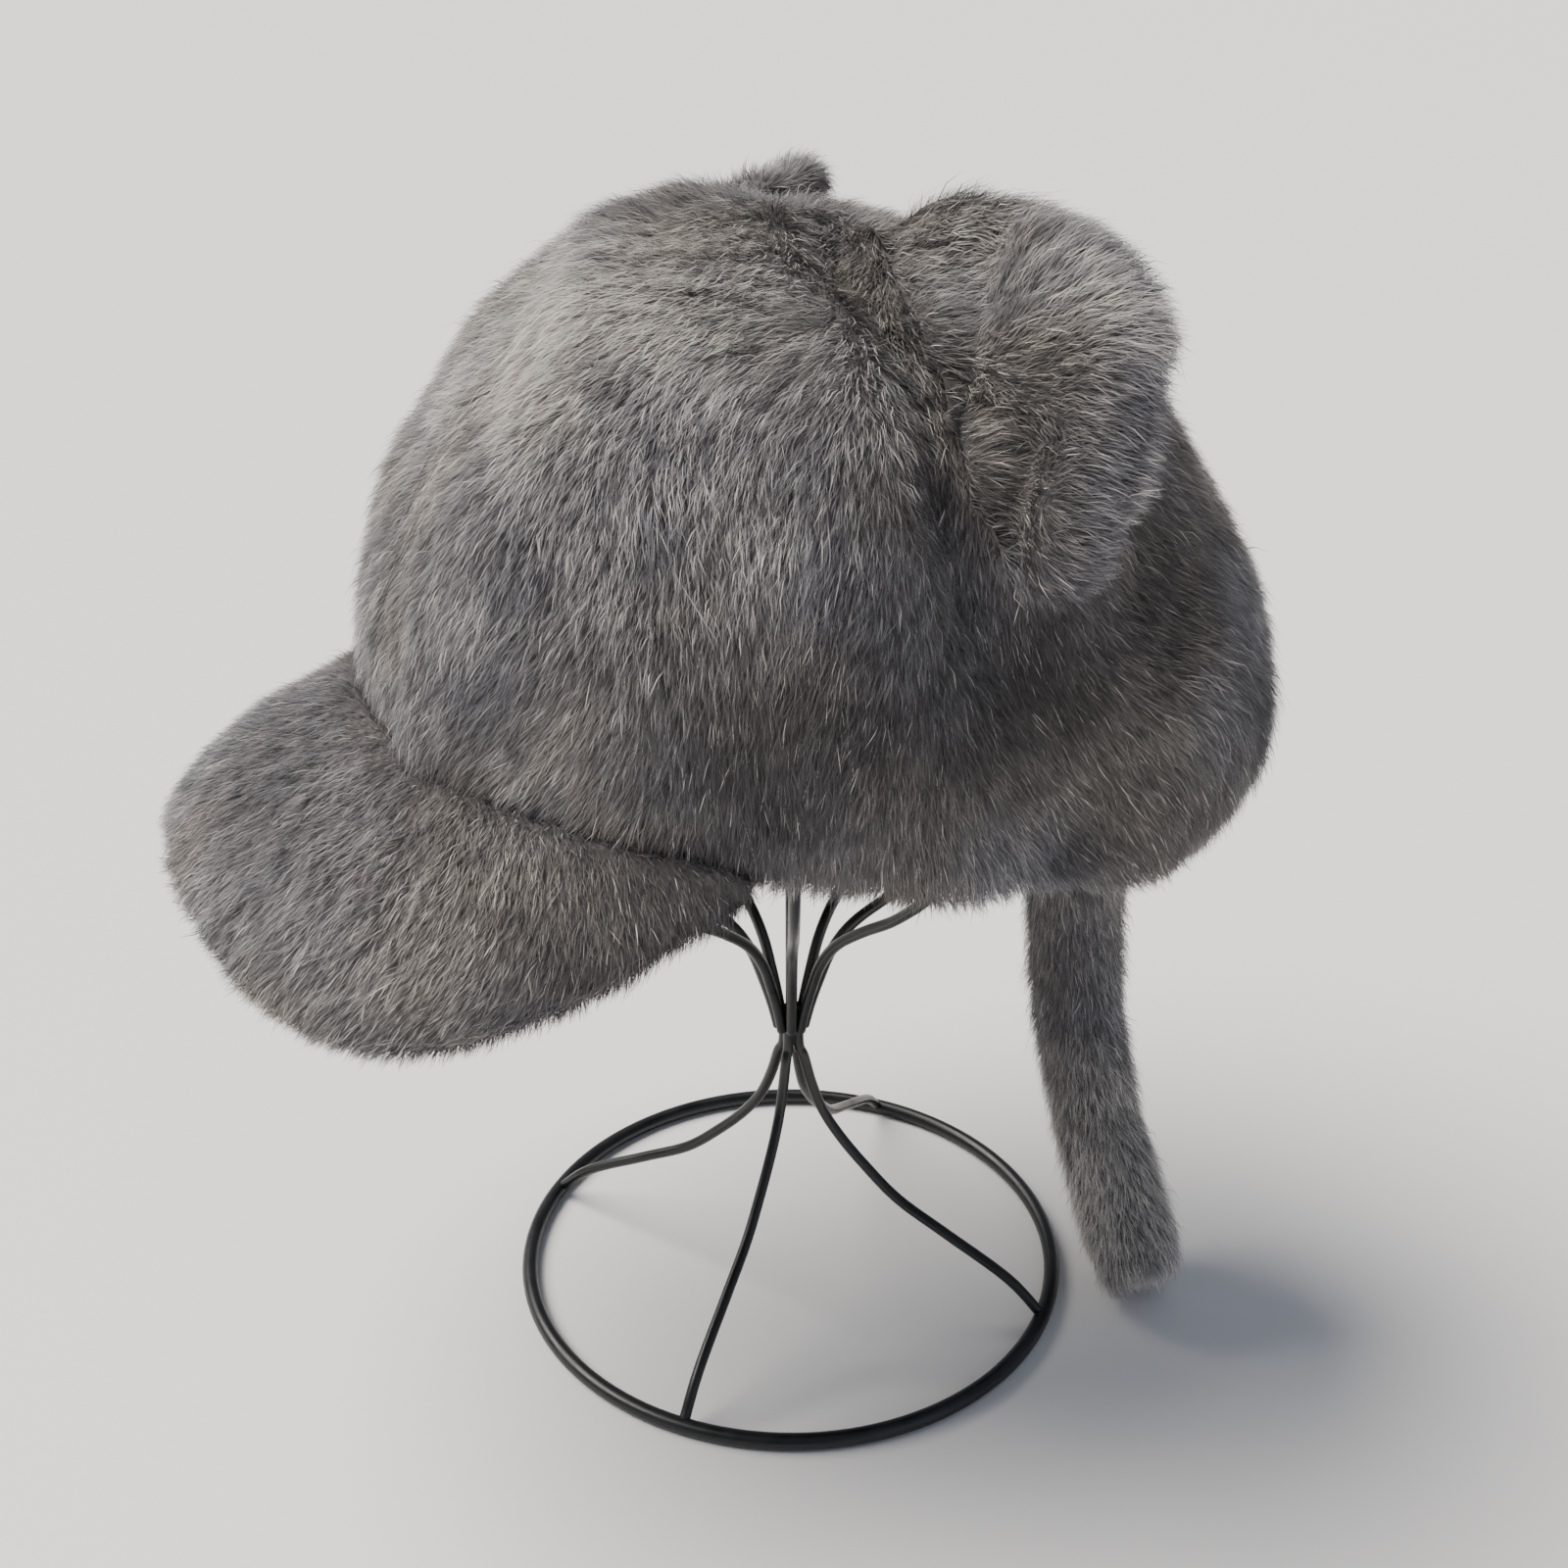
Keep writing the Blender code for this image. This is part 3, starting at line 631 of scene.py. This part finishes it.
paintedLightAndShade = [
    # place, width in mm, and how much lighter (plus) or darker (minus) the hairs are painted there: painted
    # highlights where light falls on the top, front, peak and the tail's lower end, and painted shade in the
    # valleys, by the ear's seam, on the shaded side and low on the crown
    ((30, -44, 286), 30, 0.55),
    ((-5, -52, 284), 22, 0.3),
    ((47, -74, 253), 20, 0.15),
    ((-2, -82, 252), 26, 0.2),
    ((78, -8, 268), 9, 0.3),
    ((39, -54, 277), 9, -0.25),
    ((91, -35, 210), 24, -0.35),
    ((86, -45, 195), 20, -0.3),
    ((94, 19, 216), 22, -0.45),
    ((97, -8, 222), 24, -0.2),
    ((90, 33, 175), 18, -0.2),
    ((87, 53, 230), 18, -0.15),
    ((82, -75, 170), 15, -0.35),
    ((87, -55, 173), 12, -0.3),
    ((93, 14, 267), 12, -0.35),
    ((84, 38, 291), 14, 0.25),
    ((56, -127, 166), 22, 0.15),
    ((91, -13, 172), 16, -0.25),
    ((82, 66, 172), 24, -0.4),
    ((70, 84, 195), 20, -0.2),
    ((40, 86, 25), 38, 0.6),
    ((-70, -60, 250), 24, 0.2),
    ((-90, 30, 200), 22, -0.3),
    ((0, 100, 220), 26, 0.2),
    ((-50, 90, 190), 20, -0.2),
]
crownFur = {
    "lengthMm": 7.0,
    "perSquareMm": 4.3,
    "bentShare": 0.2,
    "underLength": 0.85,
    "widthMm": 0.21,
    "liftRoot": 42,
    "liftTip": 0.42,
    "droop": 0.1,
    "swirlMm": 45,
    "swirl": 0.45,
    "clumpMm": 2.4,
    "clumpTurn": 0.12,
    "pull": 0.28,
    "stray": 0.24,
    "twist": 0.35,
    # line, width in mm, share of the cut and of the painted shade
    "partings": [(seamLine, 4.5, 1.0), (seamRight, 4.5, 0.4), (peakLine, 4.5, 0.4), (crownPinch, 4.0, 1.0)],
    "partingCut": 0.65,
    "partingPaintedShade": 0.8,
    "looseHairs": [],
    "seed": 21,
}
crownComb = {"seamMm": 2, "fadeMm": 12, "sideways": 3.0, "lengthways": 0.55}


def combCrown(local, normal):
    # Forward and down before the seam that runs from ear to ear, back and down behind it
    behind = np.tanh((local[:, 1] - crownComb["seamMm"] * mm) / (crownComb["fadeMm"] * mm))
    sideways, lengthways = local[:, 0] * crownComb["sideways"], behind * crownComb["lengthways"]
    return np.stack([sideways, lengthways, np.full(len(local), -1.0)], axis=1)


def outerFace(low, high):
    # Faces of the crown's outside whose place round the axis lies between two angles in degrees
    def keep(centre, facing):
        core = np.array(crownSettings["core"]) * mm
        turn = np.degrees(np.arctan2(centre[:, 1], centre[:, 0])) % 360
        outward = ((centre - core) * facing).sum(axis=1) > 0
        return (outward & (turn >= low) & (turn < high)).astype(float)
    return keep


crownSkin = softSkin("crown", "crown_skin", crownSettings)
for i, panel in enumerate(("left_back", "right_back", "right_front", "left_front")):
    panelFur = dict(crownFur, seed=crownFur["seed"] + 10 * i)
    if panel == "left_front":
        panelFur["looseHairs"] = [((80, -54, 245), (88, -47, 231))]
    quarter = outerFace(90 * i, 90 * i + 90)
    growFur("crown_fur_" + panel, crownSkin, panelFur, combCrown, quarter)


# Peak

peakSettings = {
    "voxelMm": 2.4,
    "smoothRounds": 3,
    "swellMm": -1.4,
    "lumpMm": 22,
    "lumpDepthMm": 0.5,
    "core": (0, 0, 150),
    "hollow": False,
    "seed": 12,
    "strokes": [
        (peakLine, 2.6, 8),
        ([(30, -128, 172), (52, -104, 170), (66, -84, 170)], -1.5, 12),
    ],
}
peakFur = dict(
    crownFur,
    lengthMm=5.8,
    perSquareMm=3.9,
    seed=71,
    liftRoot=34,
    droop=0.02,
    swirl=0.3,
    partings=[(peakLine, 5.0, 0.4)],
)
peakComb = {"centreMm": (0, -20, 0), "down": 0.35}


def combPeak(local, normal):
    # Outwards from a point over the forehead, and down
    away = local - np.array(peakComb["centreMm"]) * mm
    away[:, 2] = 0
    return unit(away) - np.array([0.0, 0.0, peakComb["down"]])


def everywhere(centre, facing):
    return np.ones(len(centre))


peakSkin = softSkin("peak", "peak_skin", peakSettings)
growFur("peak_fur", peakSkin, peakFur, combPeak, everywhere)


# Ears

earSettings = {
    "voxelMm": 2.0,
    "smoothRounds": 2,
    "swellMm": -0.6,
    "lumpMm": 18,
    "lumpDepthMm": 0.5,
    "core": (0, 0, 240),
    "hollow": False,
    "seed": 13,
    "strokes": [],
}
leftEarStrokes = [
    (seamLine, -3.0, 4.5),
    ([(36, 6, 299), (48, 9, 297), (58, 9, 291)], -3.5, 7),
    ([(53, 21, 298), (64, 15, 292), (73, 8, 284), (78, 5, 277)], -5.0, 5.5),
    ([(78, 5, 277), (87, 9, 269), (92, 13, 266), (94, 11, 259), (94, 8, 252), (93, 6, 242)], -4.5, 5.5),
    ([(99, 40, 277), (103, 35, 271), (107, 29, 261), (108, 27, 252)], -4.5, 8),
    ([(100, 15, 256), (103, 18, 250), (100, 16, 243)], 2.5, 8),
    ([(76, 32, 292), (88, 34, 284)], 2.0, 9),
]
rightEarStrokes = [
    (seamRight, -1.5, 4),
    ([(-34, -2, 297), (-54, -2, 293)], 3.0, 12),
    ([(-40, 18, 301), (-52, 20, 302), (-64, 20, 296)], -1.5, 14),
]
earFur = dict(
    crownFur, seed=91, liftRoot=42, lengthMm=6.8, partings=[(seamLine, 3.5, 1.0), (seamRight, 3.5, 0.4)]
)
earComb = (0.35, 1.0, -0.3)


def combEar(side):
    # Outwards, back and down over the whole ear
    def comb(local, normal):
        return np.repeat(np.array([earComb]) * (side, 1, 1), len(local), axis=0)
    return comb


for side, earName in ((1, "ear_left"), (-1, "ear_right")):
    strokes = leftEarStrokes if side > 0 else rightEarStrokes
    earSkin = softSkin(earName, earName + "_skin", dict(earSettings, strokes=strokes))
    growFur(earName + "_fur", earSkin, dict(earFur, seed=earFur["seed"] + side), combEar(side), everywhere)


# Tail

tailSettings = {
    "voxelMm": 2.0,
    "smoothRounds": 3,
    "swellMm": 0.2,
    "lumpMm": 15,
    "lumpDepthMm": 0.4,
    "core": (0, 86, 80),
    "hollow": False,
    "seed": 14,
    "strokes": [],
}
tailFur = dict(crownFur, seed=111, liftRoot=32, lengthMm=7.0, swirl=0.15, partings=[])
tailLean = [
    # height in mm, lean to the wearer's left
    (0, 1.1), (20, 0.95), (45, 0.6), (75, 0.1), (160, 0.0),
]


def combTail(local, normal):
    # Along the tail, whose lower half swings to the wearer's left
    lean = np.interp(local[:, 2] / mm, *zip(*tailLean))
    return np.stack([lean, np.zeros(len(lean)), -np.ones(len(lean))], axis=1)


tailSkin = softSkin("tail", "tail_skin", tailSettings)
growFur("tail_fur", tailSkin, tailFur, combTail, everywhere)


# Stand

standSizes = {
    "ringRadiusMm": 75,
    "ringWireMm": 4.4,
    "stemWireMm": 3.0,
    "legTurn": 48,
    "loopHalfTurn": 22.5,
    "solderLowMm": 74,
    "solderHighMm": 85,
    "solderRadiusMm": 2.55,
    "solderEdgeMm": 1.2,
    "solderSides": 24,
    "wireEndMm": 0.35,
    "ringSteps": 128,
    "ringSides": 16,
    "legs": 4,
    "legSteps": 6,
    "loopSteps": 5,
}
legShape = [
    # radius, height
    (75, 2.2), (64.5, 11.9), (46.5, 21.7), (32.2, 29.5), (22, 38.5), (14.5, 46.5), (9.3, 54), (6, 62),
    (3.75, 70), (2.16, 74), (2.16, 85),
]
loopShape = [
    # radius, height, share of the half turn
    (3.45, 79, 1.0), (5.1, 86.1, 1.0), (7.5, 94.1, 1.0), (10.8, 103.1, 1.0), (16.2, 111.2, 1.0),
    (25.2, 119, 1.0), (37.2, 128, 1.0), (49.2, 141.2, 1.0), (57.6, 160.6, 1.0), (60, 189.2, 1.0),
    (55.8, 223.8, 1.0), (45.6, 256.5, 0.98), (34.2, 275.9, 0.8), (26.4, 282, 0.45), (24, 283, 0.0),
]


def smoothPath(points, steps):
    # A smooth curve through the points, with so many steps between two of them
    line = [2 * points[0] - points[1], *points, 2 * points[-1] - points[-2]]
    path = []
    for a, b, c, d in zip(line, line[1:], line[2:], line[3:]):
        for step in range(steps):
            t = step / steps
            bend = (3 * b - a - 3 * c + d) * t ** 3 + (2 * a - 5 * b + 4 * c - d) * t ** 2 + (c - a) * t
            path.append(b + bend / 2)
    return [*path, points[-1]]


def bentWire(name, points, thicknessMm):
    curve = bpy.data.curves.new(name, "CURVE")
    curve.dimensions = "3D"
    curve.bevel_depth = thicknessMm * mm / 2
    curve.bevel_resolution = 3
    curve.use_fill_caps = True
    spline = curve.splines.new("POLY")
    spline.points.add(len(points) - 1)
    for target, point in zip(spline.points, points):
        target.co = (*(point * mm + standAxis), 1.0)
    wire = bpy.data.objects.new(name, curve)
    bpy.context.scene.collection.objects.link(wire)
    onlyActive(wire)
    bpy.ops.object.convert(target="MESH")
    wire = bpy.context.object
    bpy.ops.object.mode_set(mode="EDIT")
    bpy.ops.mesh.select_all(action="SELECT")
    bpy.ops.mesh.remove_doubles(threshold=weldDistance)
    bpy.ops.mesh.normals_make_consistent(inside=False)
    bpy.ops.object.mode_set(mode="OBJECT")
    applyModifier(
        wire,
        "BEVEL",
        width=standSizes["wireEndMm"] * mm,
        segments=2,
        limit_method="ANGLE",
        angle_limit=math.radians(60),
    )
    return wire


def turned(radius, turn, height):
    return np.array([radius * math.cos(turn), radius * math.sin(turn), height])


wires = []
bpy.ops.object.select_all(action="DESELECT")
bpy.ops.mesh.primitive_torus_add(
    major_radius=standSizes["ringRadiusMm"] * mm,
    minor_radius=standSizes["ringWireMm"] / 2 * mm,
    major_segments=standSizes["ringSteps"],
    minor_segments=standSizes["ringSides"],
    location=(standAxis[0], standAxis[1], standSizes["ringWireMm"] / 2 * mm),
)
wires.append(bpy.context.object)
half = math.radians(standSizes["loopHalfTurn"])
for i in range(standSizes["legs"]):
    turn = math.radians(standSizes["legTurn"]) + math.tau * i / standSizes["legs"]
    leg = smoothPath([turned(r, turn, h) for r, h in legShape], standSizes["legSteps"])
    wires.append(bentWire(f"leg_{i + 1}", leg, standSizes["stemWireMm"]))
    sideOne = [turned(r, turn + share * half, h) for r, h, share in loopShape]
    sideTwo = [turned(r, turn - share * half, h) for r, h, share in reversed(loopShape[:-1])]
    loop = smoothPath(sideOne + sideTwo, standSizes["loopSteps"])
    wires.append(bentWire(f"loop_{i + 1}", loop, standSizes["stemWireMm"]))
bpy.ops.object.select_all(action="DESELECT")
solderLow, solderHigh = standSizes["solderLowMm"], standSizes["solderHighMm"]
bpy.ops.mesh.primitive_cylinder_add(
    vertices=standSizes["solderSides"],
    radius=standSizes["solderRadiusMm"] * mm,
    depth=(solderHigh - solderLow) * mm,
    location=(standAxis[0], standAxis[1], (solderHigh + solderLow) / 2 * mm),
)
solder = bpy.context.object
onlyActive(solder)
bpy.ops.object.mode_set(mode="EDIT")
bpy.ops.mesh.select_all(action="SELECT")
bpy.ops.mesh.bevel(offset=standSizes["solderEdgeMm"] * mm, segments=3, affect="EDGES")
bpy.ops.object.mode_set(mode="OBJECT")
wires.append(solder)
bpy.ops.object.select_all(action="DESELECT")
for wire in wires:
    wire.select_set(True)
bpy.context.view_layer.objects.active = wires[0]
bpy.ops.object.join()
standWire = bpy.context.object
standWire.name = "stand_wire"
bpy.ops.object.transform_apply(location=True, rotation=True, scale=True)
standWire.data.materials.clear()
standWire.data.materials.append(lacquerMaterial)
bpy.ops.object.shade_smooth_by_angle(angle=math.radians(40))
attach(standWire, "root")
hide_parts("stand")
print("stand ready")


# Floor, lights and camera

stageSettings = {
    "floorSize": 40,
    "floorColor": "#f7f6f4",
    "windowColor": "#fff8f0",
    "fillColor": "#dde7ff",
    "skyColor": "#dfe8fb",
    "windowStrength": 6.2,
    "windowAngle": 50,
    "fillWatts": 1.2,
    "fillSize": 0.9,
    "skyStrength": 0.3,
    # to the camera's right, away from it, and up, in metres from the foot of the stand's axis
    "windowPlace": (-1.2, 0.35, 2.0),
    "fillPlace": (0.9, -0.9, 0.5),
    "aimHeight": 0.18,
}
cameraSettings = {
    # the place is in metres from the foot of the stand's axis, the angles in degrees
    "place": (0.4204, -0.1551, 0.3759),
    "pitch": 26.5,
    "turn": 70,
    "lensMm": 45,
    "sensorMm": 36,
}
centre = Vector((*standAxis[:2], 0.0))
turn = math.radians(cameraSettings["turn"])
rightward = Vector((math.cos(turn), math.sin(turn), 0.0))
awayward = Vector((-math.sin(turn), math.cos(turn), 0.0))
bpy.ops.object.select_all(action="DESELECT")
bpy.ops.mesh.primitive_plane_add(size=stageSettings["floorSize"])
floor = bpy.context.object
floor.name = "floor"
floorMaterial, _, floorShader = newMaterial("pale paper floor")
floorShader.inputs["Base Color"].default_value = linear(stageSettings["floorColor"])
floorShader.inputs["Roughness"].default_value = 0.8
floor.data.materials.append(floorMaterial)


def aimed(name, light, place):
    # Hangs a light at its place, turned towards the hat
    right, away, up = place
    lamp = bpy.data.objects.new(name, light)
    bpy.context.scene.collection.objects.link(lamp)
    lamp.location = centre + rightward * right + awayward * away + Vector((0, 0, up))
    sight = centre + Vector((0, 0, stageSettings["aimHeight"])) - lamp.location
    lamp.rotation_euler = sight.to_track_quat("-Z", "Y").to_euler()


window = bpy.data.lights.new("window", "SUN")
window.energy = stageSettings["windowStrength"]
window.color = linear(stageSettings["windowColor"])[:3]
window.angle = math.radians(stageSettings["windowAngle"])
aimed("window", window, stageSettings["windowPlace"])
fill = bpy.data.lights.new("fill", "AREA")
fill.energy = stageSettings["fillWatts"]
fill.color = linear(stageSettings["fillColor"])[:3]
fill.size = stageSettings["fillSize"]
aimed("fill", fill, stageSettings["fillPlace"])
world = bpy.data.worlds.new("studio")
world.use_nodes = True
sky = world.node_tree.nodes["Background"]
sky.inputs["Color"].default_value = linear(stageSettings["skyColor"])
sky.inputs["Strength"].default_value = stageSettings["skyStrength"]
bpy.context.scene.world = world
camera = bpy.data.objects.new("camera", bpy.data.cameras.new("camera"))
bpy.context.scene.collection.objects.link(camera)
camera.data.lens = cameraSettings["lensMm"]
camera.data.sensor_width = cameraSettings["sensorMm"]
camera.location = centre + Vector(cameraSettings["place"])
camera.rotation_euler = (math.radians(90 - cameraSettings["pitch"]), 0, turn)
bpy.context.scene.camera = camera
print("stage ready")
